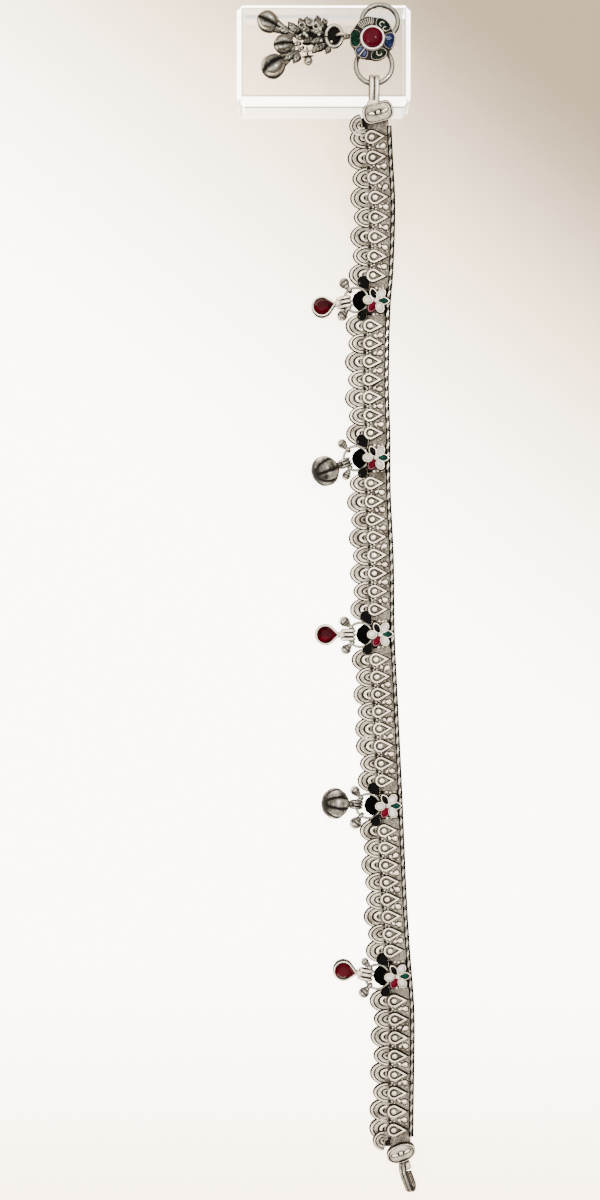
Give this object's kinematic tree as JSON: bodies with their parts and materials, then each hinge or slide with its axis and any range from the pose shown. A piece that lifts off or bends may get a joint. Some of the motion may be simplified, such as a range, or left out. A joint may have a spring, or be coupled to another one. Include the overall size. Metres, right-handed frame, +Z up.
{
  "type": "payal anklet on an acrylic display block",
  "caption": "Silver anklet band of cast teardrops and leaves with stone drops and bells down one side, laid open from a clear acrylic block that holds its ring clasp and charm.",
  "frame": {"origin": "centre of the display block's underside, on the surface that the band lies on", "axes": "+Y along the anklet towards its clasp end, +X across the band towards its edge chain, +Z up"},
  "size_m": [0.0396, 0.2609, 0.0168],
  "materials": {
    "oxidised_silver": "warm matte oxidised silver",
    "polished_silver": "polished silver gone dark",
    "red_cabochon": "polished domed stone",
    "crimson_stone": "polished table-cut stone",
    "clear_acrylic": "clear polished acrylic"
  },
  "bodies": {
    "root": {"acrylic_block": "clear_acrylic", "band_section_1": "oxidised_silver", "band_section_2": "oxidised_silver", "band_section_3": "oxidised_silver", "band_section_4": "oxidised_silver", "band_section_5": "oxidised_silver", "band_section_6": "oxidised_silver", "bell_2": "polished_silver", "bell_4": "polished_silver", "charm_bead": "polished_silver", "charm_bell_lower": "polished_silver", "charm_bell_middle": "polished_silver", "charm_bell_upper": "polished_silver", "charm_head": "oxidised_silver", "clasp_flower": "oxidised_silver", "clasp_stone": "red_cabochon", "edge_chain": "oxidised_silver", "end_cap_lower": "oxidised_silver", "end_cap_upper": "oxidised_silver", "hanger_ring_1": "oxidised_silver", "hanger_ring_2": "oxidised_silver", "hanger_ring_3": "oxidised_silver", "hanger_ring_4": "oxidised_silver", "hanger_ring_5": "oxidised_silver", "pear_bezel_1": "oxidised_silver", "pear_bezel_3": "oxidised_silver", "pear_bezel_5": "oxidised_silver", "pear_stone_1": "crimson_stone", "pear_stone_3": "crimson_stone", "pear_stone_5": "crimson_stone", "ring_lower": "polished_silver", "ring_upper": "polished_silver", "small_bell_1_1": "polished_silver", "small_bell_1_2": "polished_silver", "small_bell_2_1": "polished_silver", "small_bell_2_2": "polished_silver", "small_bell_3_1": "polished_silver", "small_bell_3_2": "polished_silver", "small_bell_4_1": "polished_silver", "small_bell_4_2": "polished_silver", "small_bell_5_1": "polished_silver", "small_bell_5_2": "polished_silver", "station_1": "oxidised_silver", "station_2": "oxidised_silver", "station_3": "oxidised_silver", "station_4": "oxidised_silver", "station_5": "oxidised_silver"}
  },
  "joints": []
}
